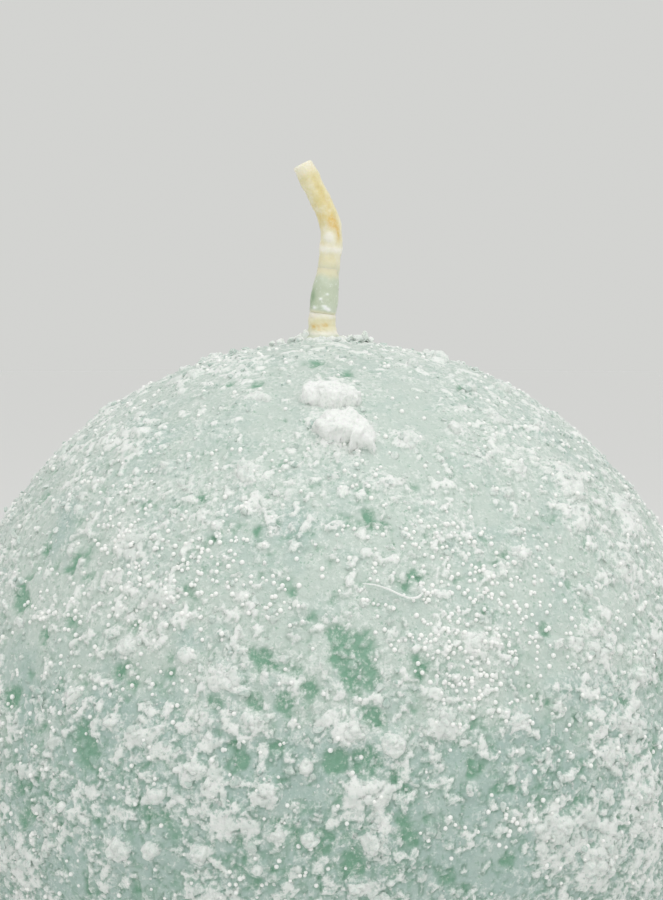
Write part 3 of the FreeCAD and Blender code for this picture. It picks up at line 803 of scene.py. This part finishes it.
def make_crumbs(frost, bright):
    """Crumbs down to 0.2 mm across, and the bright grains."""
    rng = np.random.default_rng(3)
    chunks = [crumb_shape(rng, rings=2, cuts=8, lumps=4) for _ in range(8)]
    bits = [crumb_shape(rng, rings=1, cuts=2, lumps=2) for _ in range(6)]
    scatter("crumbs", count=12000, seed=11, diameters=(0.5, 1.7), power=2.4, widths=(0.65, 1.0),
            flatness=(0.35, 0.65), keep=crumb_chance, embed=0.55, shapes=chunks,
            whiteness=(0.35, 0.85), material=frost)
    scatter("fine_crumbs", count=30000, seed=12, diameters=(0.2, 0.55), power=1.4, widths=(0.6, 1.0),
            flatness=(0.5, 0.9), keep=crumb_chance, embed=0.4, shapes=bits,
            whiteness=(0.4, 0.85), material=frost)
    scatter("beads", count=26000, seed=13, diameters=(0.34, 0.54), power=1.3, widths=(0.92, 1.0),
            flatness=(0.9, 1.0), keep=grain_chance, embed=0.45, shapes=[ball_shape(2)],
            whiteness=(1.0, 1.0), material=bright, smooth=True)


# ---- flakes and clumps

# How far, in mm, a patch of skin goes past its lump before it is trimmed.
PATCH_MARGIN = 0.8


def draped_patch(tree, middle, reach, spacing, blur, ragged):
    """A patch of skin over one CAD lump: its points, its faces and how far each point is on the
    lump, from 0 to 1. Its edge is torn, by ragged mm, and sinks into the crust. It is smoothed
    blur times, and where that is little, its top is broken into chunks."""
    across = np.cross((0.31, 0.17, 0.93), middle)
    across /= np.linalg.norm(across)
    upwards = np.cross(middle, across)
    steps = 2 * int(reach / spacing) + 1
    line = np.linspace(-reach, reach, steps)
    u, v = np.meshgrid(line, line, indexing="ij")
    directions = unit(BALL_RADIUS * middle + u.reshape(-1, 1) * across + v.reshape(-1, 1) * upwards)
    points = (directions * BALL_RADIUS).astype(np.float32)
    height = np.zeros(len(points))
    clear = 5.0
    far = BALL_RADIUS + clear
    for index, towards in enumerate(unit(warped(points, 1.6, ragged, 600))):
        start = Vector(towards * far) + Vector((0, 0, BALL_CENTRE))
        hit = tree.ray_cast(start * MM, Vector(-towards), clear * MM)
        if hit[0] is not None:
            height[index] = far - hit[3] / MM - BALL_RADIUS
    solid = (height > 0).astype(float).reshape(u.shape)
    height = np.clip(height, 0, None).reshape(u.shape)
    kernel = np.array([0.25, 0.5, 0.25])
    for _ in range(blur):
        for axis in (0, 1):
            solid = np.apply_along_axis(np.convolve, axis, solid, kernel, "same")
            height = np.apply_along_axis(np.convolve, axis, height, kernel, "same")
    body = smoothstep(0.15, 0.75, solid.reshape(-1))
    height = height.reshape(-1)
    rough = 0.20 * fractal(points, 1.3, 3, 610) + 0.08 * fractal(points, 0.45, 2, 620)
    chunks, _ = broken_plates(warped(points, 0.7, 0.12, 640), 1.15, 645, 1.1, 0.3)
    rough += (0.34 if blur < 3 else 0.0) * (chunks - 0.7)
    lift = np.where(body > 0, height + body * rough, 0.0) - 0.65 * (1 - body)
    faces = grid_faces(*u.shape)
    faces = faces[(solid.reshape(-1)[faces] > 0.02).any(axis=1)]
    skin = (directions * (BALL_RADIUS + lift)[:, None]).astype(np.float32)
    skin = warped(warped(skin, 1.1, 0.055 * blur, 650), 0.45, 0.025 * blur, 655)
    return skin, faces, body


def draped_piece(name, node, spacing, blur, ragged, sink, white, material):
    """A skin over every lump of a CAD node, white at its top and lowered by sink mm."""
    corners = [Vector(corner) for corner in vertex_array(node.data)]
    tree = BVHTree.FromPolygons(corners, [tuple(polygon.vertices) for polygon in node.data.polygons])
    made = []
    total = 0
    for middle, reach in lumps_of(node):
        points, faces, body = draped_patch(tree, middle, reach + PATCH_MARGIN, spacing, blur, ragged)
        used, faces = np.unique(faces, return_inverse=True)
        made.append((points[used], faces.reshape(-1, 4) + total, body[used]))
        total += len(used)
    points, faces, body = (np.concatenate(parts) for parts in zip(*made))
    points *= 1 - sink / BALL_RADIUS
    piece = mesh_from_arrays(name, points, faces)
    tint = fractal(points.astype(np.float32), 1.2, 2, 660)
    whites = np.clip(0.25 + white * body + 0.15 * tint, 0, 1)
    set_look(piece, whites, 0.3 * (1 - body), 0.55 - 0.5 * white, 0.3)
    finish_piece(piece, material, "frost_wax", node.name)


def make_flakes(material):
    """The loose flakes and the two clumps of frost."""
    for name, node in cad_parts.items():
        if name.startswith("frost_flakes"):
            draped_piece(name + "_wax", node, spacing=0.14, blur=2, ragged=0.5, sink=0.10, white=0.55,
                         material=material)
        elif name.startswith("frost_clump"):
            draped_piece(name + "_wax", node, spacing=0.10, blur=5, ragged=0.4, sink=0.0, white=1.0,
                         material=material)


def make_curl(material):
    """A thin curled shaving of wax lying on the crust, thinner at its left end."""
    bends = [(4.8, 26.1), (6.9, 25.9), (9.0, 25.2), (10.5, 24.4), (11.9, 23.9), (13.2, 24.0), (14.0, 24.7)]
    steps, around, radius, lift, blend = 80, 8, 0.13, 0.15, 8
    ends = np.array([direction(*angles) for angles in bends])
    share = np.linspace(0, len(bends) - 1, steps)
    places = np.column_stack([np.interp(share, np.arange(len(bends)), ends[:, axis]) for axis in range(3)])
    kernel = np.hanning(2 * blend + 1)
    kernel = kernel / kernel.sum()
    padded = np.pad(places, ((blend, blend), (0, 0)), mode="edge")
    outward = unit(np.column_stack([np.convolve(padded[:, axis], kernel, "valid") for axis in range(3)]))
    centres = outward * (BALL_RADIUS + lift)
    beside = np.cross(unit(np.gradient(centres, axis=0)), outward)
    angles = np.linspace(0, 2 * math.pi, around, endpoint=False)
    thick = radius * np.sqrt(np.clip(1 - np.linspace(-1, 1, steps)**8, 0.04, None))
    thick *= np.linspace(0.55, 1.1, steps)
    ring = np.cos(angles)[None, :, None] * beside[:, None] + np.sin(angles)[None, :, None] * outward[:, None]
    points = centres[:, None] + ring * thick[:, None, None]
    corner = np.arange(steps * around).reshape(-1, around)
    after = np.roll(corner, -1, axis=1)
    faces = np.stack([corner[:-1], corner[1:], after[1:], after[:-1]], axis=-1).reshape(-1, 4)
    piece = mesh_from_arrays("wax_curl", points.reshape(-1, 3), faces)
    set_look(piece, 0.95, 0.0, 0.0)
    finish_piece(piece, material, "frost_wax")


# ---- wick and the wax on it

# The wick's line, as the CAD model has it, in mm and degrees: upright, a gentle bend, a leaning
# stretch, an elbow and the bent end.
WICK_RADIUS = 1.1
WICK_STRAIGHT = 1.65
ROOT_ARC = 6.7
LEAN = 7.2
MIDDLE = 6.85
ELBOW = 7.2
TIP_LEAN = 26.8
TIP = 5.0
WICK_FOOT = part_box("wick")[0].z / MM - BALL_CENTRE
ELBOW_START = WICK_STRAIGHT + ROOT_ARC * math.radians(LEAN) + MIDDLE
ELBOW_END = ELBOW_START + ELBOW * math.radians(LEAN + TIP_LEAN)
WICK_LENGTH = ELBOW_END + TIP
AROUND = 96


def wick_line(lengths):
    """Places and headings of the wick's axis at lengths above the crown, about the ball's centre."""
    step = 0.02
    fine = np.arange(0, WICK_LENGTH + step, step)
    bend = np.clip((fine - WICK_STRAIGHT) / (ROOT_ARC * math.radians(LEAN)), 0, 1) * LEAN
    bend -= np.clip((fine - ELBOW_START) / (ELBOW_END - ELBOW_START), 0, 1) * (LEAN + TIP_LEAN)
    angle = np.radians(bend)
    x = WICK_OFFSET + np.concatenate([[0], np.cumsum(np.sin(angle[:-1]) * step)])
    z = BALL_RADIUS + np.concatenate([[0], np.cumsum(np.cos(angle[:-1]) * step)])
    above = np.clip(lengths, 0, None)
    turn = np.interp(above, fine, angle)
    places = np.stack([np.interp(above, fine, x), np.zeros(len(lengths)),
                       np.interp(above, fine, z) + np.minimum(lengths, 0)], axis=1)
    return places, np.stack([np.cos(turn), np.zeros(len(turn)), -np.sin(turn)], axis=1)


def tube_points(lengths, radii):
    """Points round the wick's axis. radii has a row for each length and a column for each angle;
    the angle runs from +X through the back, so that the front is at three quarters of a turn."""
    places, right = wick_line(lengths)
    angles = np.linspace(0, 2 * math.pi, AROUND, endpoint=False)
    side = np.cos(angles)[None, :, None] * right[:, None, :]
    back = np.sin(angles)[None, :, None] * np.array([0.0, 1.0, 0.0])
    return places[:, None, :] + (side + back) * radii[:, :, None]


def tube_mesh(name, points):
    """Closed mesh of rings, whose first and last rings are filled by a point at their middle."""
    rings = len(points)
    corner = np.arange(rings * AROUND).reshape(rings, AROUND)
    after = np.roll(corner, -1, axis=1)
    sides = np.stack([corner[:-1], after[:-1], after[1:], corner[1:]], axis=-1).reshape(-1, 4)
    triangles = np.concatenate([sides[:, [0, 1, 2]], sides[:, [0, 2, 3]]])
    low, high = rings * AROUND, rings * AROUND + 1
    caps = [np.stack([after[0], corner[0], np.full(AROUND, low)], axis=1),
            np.stack([corner[-1], after[-1], np.full(AROUND, high)], axis=1)]
    ends = [points[0].mean(axis=0), points[-1].mean(axis=0)]
    return mesh_from_arrays(name, np.concatenate([points.reshape(-1, 3), ends]),
                            np.concatenate([triangles] + caps))


def set_masks(piece, **grids):
    """Named values for each point of a tube, whose two end points take their rings' averages."""
    for name, grid in grids.items():
        flat = np.concatenate([grid.reshape(-1), [grid[0].mean(), grid[-1].mean()]])
        layer = piece.data.attributes.new(name, "FLOAT", "POINT")
        layer.data.foreach_set("value", np.clip(flat, 0, 1).astype(np.float32))


def tube_grid(lengths):
    """Length along a tube and angle round it, for each of its points."""
    return np.meshgrid(lengths, np.linspace(0, 2 * math.pi, AROUND, endpoint=False), indexing="ij")


def spots(along, angle, *places):
    """Sum of soft spots on a tube. Each is a strength, a place along the tube, an angle in degrees
    from the front towards +X, a length along the tube and a width, in degrees, round it."""
    total = 0.0
    for strength, at, towards, length, width in places:
        turn = (np.degrees(angle) - 270 - towards + 180) % 360 - 180
        total = total + strength * np.exp(-((along - at) / length)**2 - (turn / width)**2)
    return total


def tube_noise(lengths, size, octaves, seed, squeeze=None):
    """Noise at the points of a plain tube of the wick's radius, which squeeze may scale first."""
    points = tube_points(lengths, np.full((len(lengths), AROUND), WICK_RADIUS))
    points = points.reshape(-1, 3).astype(np.float32)
    if squeeze:
        points = points * squeeze
    return fractal(points, size, octaves, seed).reshape(len(lengths), AROUND)


def make_wick(material):
    """Braided cotton, its strands half buried in wax, with the end cut blunt."""
    edge = 0.3
    buried = np.linspace(WICK_FOOT, -1.0, 70)
    stub = np.linspace(-0.9, WICK_LENGTH - edge, 190)
    rounding = WICK_LENGTH - edge * (1 - np.sin(np.linspace(0, math.pi / 2, 7)[1:]))
    lengths = np.concatenate([buried, stub, rounding])
    along, angle = tube_grid(lengths)

    strand = 2.6
    braid = np.maximum(np.cos(4 * angle + strand * along), np.cos(4 * angle - strand * along))
    wax = smoothstep(-0.2, 0.5, tube_noise(lengths, 2.2, 2, 410))
    swell = tube_noise(lengths, 1.6, 3, 420)
    pitted = tube_noise(lengths, 0.45, 2, 430)
    bent_end = smoothstep(ELBOW_START + 1.8, ELBOW_START + 3.0, along)
    groove = spots(along, angle, (1, 14.6, 28, 2.6, 20), (0.6, 11.0, 40, 1.0, 22))
    crumb = spots(along, angle, (1, 10.4, -12, 0.50, 24))
    ring = np.exp(-((along - 9.25 - 0.15 * np.sin(angle)) / 0.42)**2)
    cream = smoothstep(8.6, 7.4, along)

    radii = WICK_RADIUS * (1 + 0.02 * np.cos(2 * angle)) - 0.05 * bent_end
    radii += 0.035 * braid * (1 - 0.8 * wax) + 0.07 * swell + 0.03 * pitted
    radii += 0.17 * crumb + 0.06 * ring - 0.16 * groove
    ends = np.clip((WICK_LENGTH - lengths) / edge, 0, 1)
    corner = 0.25 * (1 - np.sqrt(1 - (1 - ends)**2))
    radii -= corner[:, None]
    points = tube_points(lengths, radii)
    piece = tube_mesh("wick_braid", points)

    tip = smoothstep(WICK_LENGTH - 1.6, WICK_LENGTH - 0.3, along)
    amber = spots(along, angle, (1.5, 11.9, 14, 0.60, 24), (0.9, 11.0, 42, 0.8, 14),
                  (0.4, 12.8, -45, 0.6, 20)) + 0.15 * groove
    straw = 0.18 + bent_end * (0.95 - 0.55 * smoothstep(13.5, 16.0, along)) + 0.45 * groove
    pale = 0.75 * tip + crumb * 1.6 + 0.85 * ring + 0.25 * swell
    pale += spots(along, angle, (0.45, 12.5, 75, 3.0, 22), (0.3, 15.0, -60, 2.0, 30))
    set_masks(piece, amber=amber, straw=straw * (1 - 0.6 * cream), pale=pale,
              green=0.5 * smoothstep(8.0, 6.8, along))
    finish_piece(piece, material, "waxed_cotton", "wick")


def make_sleeve(material):
    """Green wax left round the leaning stretch, thickest on the left and thinned out at its top."""
    low, high = 2.45, 7.25
    lengths = np.linspace(low, high, 72)
    along, angle = tube_grid(lengths)
    ragged = tube_noise(lengths, 1.3, 3, 450, squeeze=(1, 1, 0.2))
    lumps = tube_noise(lengths, 1.0, 3, 460)
    left = np.clip(-np.cos(angle), 0, 1)
    bottom = 0.7 + 0.3 * smoothstep(low, low + 0.5 + 0.3 * ragged, along)
    top = 1 - smoothstep(high - 2.0 + 0.5 * ragged, high - 0.3, along)
    body = np.minimum(bottom, top)
    thickness = 0.02 + body * (0.22 + 0.05 * left + 0.05 * lumps)
    thickness += 0.08 * body * np.exp(-((along - 3.8) / 0.9)**2)
    beadlet = spots(along, angle, (1, 4.0, -16, 0.14, 7), (1, 4.55, 10, 0.12, 6), (1, 3.1, 10, 0.16, 12),
                    (1, 2.95, 24, 0.13, 9), (0.8, 3.3, 0, 0.12, 10), (0.8, 3.05, -38, 0.16, 10))
    radii = WICK_RADIUS + thickness + 0.10 * beadlet
    radii[0], radii[1] = WICK_RADIUS, WICK_RADIUS + 0.16
    radii[-1] = WICK_RADIUS - 0.12
    piece = tube_mesh("sleeve_wax", tube_points(lengths, radii))
    dark = spots(along, angle, (1.3, 4.1, -72, 0.75, 26), (0.25, 2.9, -5, 0.3, 40)) + 0.2 * left * body
    pale = beadlet + 0.2 * np.clip(lumps, 0, 1) + spots(along, angle, (0.25, 3.0, 15, 0.35, 35))
    fade = smoothstep(high - 1.3 + 0.5 * ragged, high - 0.3, along)
    fade += 0.8 * smoothstep(low + 0.55 + 0.2 * ragged, low + 0.1, along)
    set_masks(piece, dark=dark, pale=pale, fade=fade)
    finish_piece(piece, material, "green_wax", "wick_wax_sleeve")


def make_root(material):
    """Cream wax round the wick's root, which spreads over the crown like a skirt."""
    profile = np.array([(2.56, 1.15), (2.52, 1.28), (2.3, 1.39), (1.2, 1.42), (0.75, 1.50), (0.45, 1.60),
                        (0.20, 1.70), (0.0, 1.85), (-0.35, 2.0), (-0.7, 2.1)])
    share = np.linspace(0, len(profile) - 1, 90)
    lengths = np.interp(share, np.arange(len(profile)), profile[:, 0])[::-1]
    reach = np.interp(share, np.arange(len(profile)), profile[:, 1])[::-1]
    along, angle = tube_grid(lengths)
    spread = smoothstep(1.5, 2.4, reach)[:, None]
    lobes = 1 + spread * (0.16 * np.sin(angle + 2.6) + 0.10 * np.sin(3 * angle + 1.0))
    lumps = tube_noise(lengths, 1.2, 3, 510)
    crumbly = tube_noise(lengths, 0.5, 2, 520)
    radii = reach[:, None] * lobes + 0.09 * lumps + 0.08 * crumbly + 0.35 * spread * lumps
    radii[-1] = WICK_RADIUS - 0.05
    piece = tube_mesh("root_wax", tube_points(lengths, radii))
    amber = spots(along, angle, (0.9, 1.25, -32, 0.24, 18), (0.9, 1.35, 8, 0.22, 13),
                  (0.6, 1.0, -10, 0.16, 12), (0.6, 1.3, -14, 0.12, 30))
    amber *= 1.7 * np.clip(0.8 + 1.6 * crumbly, 0, 1.6)
    pale = 1.1 * smoothstep(1.0, 0.35, along) + 0.2 * lumps + 0.6 * smoothstep(1.8, 2.3, along)
    green = 0.8 * smoothstep(0.6, 0.1, along) + spots(along, angle, (0.6, 0.7, -75, 0.5, 35))
    set_masks(piece, amber=amber, straw=0.15 * smoothstep(0.8, 1.6, along), pale=pale, green=green)
    finish_piece(piece, material, "frost_wax", "wick_root_collar")


def make_root_crumbs(material):
    """Crumbs about the wick's root: a heap on its left and its right, then a ring of small ones.
    Each is a place across the ball's top, two widths and a height, in mm."""
    rng = np.random.default_rng(21)
    shapes = [crumb_shape(rng, 3, 6, 8) for _ in range(5)]
    heaps = [(2.2, -0.3, 1.4, 1.0, 0.8), (3.0, -0.3, 1.7, 1.1, 1.0), (3.5, -0.2, 1.4, 1.0, 1.4),
             (4.2, 0.0, 1.2, 0.9, 0.7), (-2.2, -0.4, 1.1, 1.0, 1.5), (-2.9, -0.3, 1.3, 1.0, 1.0),
             (-2.9, -0.8, 1.3, 0.9, 0.6), (-2.0, -1.9, 0.9, 0.8, 0.5), (-4.0, -0.4, 1.4, 1.0, 0.5),
             (0.3, -2.4, 0.9, 0.8, 0.4), (-0.9, -2.9, 1.1, 0.9, 0.4), (1.2, 2.0, 1.0, 0.9, 0.7),
             (-1.6, 2.1, 0.9, 0.8, 0.6), (-3.2, 1.4, 0.9, 0.9, 0.5), (2.6, 1.5, 0.8, 0.8, 0.6),
             (-2.5, 0.2, 0.9, 0.8, 0.9), (-3.7, 0.3, 1.2, 0.9, 0.7), (-4.9, 0.1, 1.3, 0.9, 0.6),
             (-5.9, -0.1, 1.0, 0.8, 0.5), (4.2, 0.1, 1.0, 0.8, 0.5)]
    count = 40
    turn = rng.uniform(0, 2 * math.pi, count)
    away = rng.uniform(1.75, 3.1, count)
    ring = np.column_stack([WICK_OFFSET + away * np.cos(turn), away * np.sin(turn),
                            rng.uniform(0.45, 0.95, count), rng.uniform(0.4, 0.8, count),
                            rng.uniform(0.35, 0.7, count)])
    placed = np.concatenate([heaps, ring])
    ball = np.sqrt(BALL_RADIUS**2 - placed[:, 0]**2 - placed[:, 1]**2)
    centres = np.column_stack([placed[:, :2], ball - 0.25 + 0.30 * placed[:, 4]])
    white = np.concatenate([np.full(len(heaps), 0.95), rng.uniform(0.6, 0.9, len(ring))])
    axes = frames_about(unit(centres), rng, 0.15)
    scatter_mesh("root_crumbs", shapes, centres, axes, placed[:, 2:] / 2 * (1, 1, 1.2), white,
                 rng.uniform(0, 0.5, len(placed)), material)


def finish_hidden_nodes():
    """Materials for the CAD nodes that stay: the wax core and the sustainer."""
    for name, material in (("wax_core", core_material()), ("wick_sustainer", tin_material())):
        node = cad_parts[name]
        for place in node.material_slots:
            place.link = "OBJECT"
            place.material = material


# ---- stage, light and camera

BACKGROUND = linear(211, 211.5, 209)
FLOOR_REFLECTS = 0.55


def make_stage():
    """Floor that glows a little, so that it meets the background's tone, and even light all round."""
    bpy.ops.mesh.primitive_circle_add(vertices=96, radius=3.2, fill_type="NGON", location=(0, 0, 0))
    floor = bpy.context.object
    floor.name = "floor"
    material, _, shader = new_material("pale_floor")
    glow = tuple(c * (1 - FLOOR_REFLECTS) for c in BACKGROUND[:3])
    fix(shader, Base_Color=(FLOOR_REFLECTS, FLOOR_REFLECTS, FLOOR_REFLECTS, 1), Roughness=0.9,
        Specular_IOR_Level=0.1, Emission_Color=glow + (1,), Emission_Strength=0.955)
    floor.data.materials.append(material)

    world = bpy.data.worlds.new("studio")
    bpy.context.scene.world = world
    world.use_nodes = True
    fix(world.node_tree.nodes["Background"], Color=BACKGROUND, Strength=1.0)


def make_light(name, place, size, watts):
    """Square soft light that faces the ball."""
    lamp = bpy.data.lights.new(name, "AREA")
    lamp.size = size
    lamp.energy = watts
    holder = bpy.data.objects.new(name, lamp)
    bpy.context.scene.collection.objects.link(holder)
    holder.location = place
    towards = Vector((0, 0, BALL_CENTRE * MM)) - Vector(place)
    holder.rotation_euler = towards.to_track_quat("-Z", "Y").to_euler()


def make_camera():
    """Camera a little above the ball's middle, looking past its top, so the ball fills the foot
    of the frame and is cut by it."""
    distance, aside = 0.370, 0.00026
    rise = math.radians(7.0)
    pitch = math.radians(-2.59)
    camera = bpy.data.cameras.new("camera")
    camera.sensor_width = 36.0
    camera.lens = 142.7
    camera.clip_start = 0.01
    camera.clip_end = 20.0
    holder = bpy.data.objects.new("camera", camera)
    bpy.context.scene.collection.objects.link(holder)
    holder.location = (aside, -distance * math.cos(rise), BALL_CENTRE * MM + distance * math.sin(rise))
    holder.rotation_euler = (math.pi / 2 + pitch, 0, 0)
    bpy.context.scene.camera = holder


# ---- build

bpy.context.scene.view_settings.view_transform = "Standard"
make_stage()
make_light("key", (0.20, -0.20, 0.60), size=0.9, watts=2.15)
make_light("fill", (-0.40, -0.62, 0.62), size=0.7, watts=1.1)
make_camera()

frost = frost_material()
cotton = wick_material()
make_wick(cotton)
make_sleeve(sleeve_material())
make_root(cotton)
make_root_crumbs(frost)
make_crust(frost)
make_crumbs(frost, bead_material())
make_flakes(frost)
make_curl(frost)
finish_hidden_nodes()
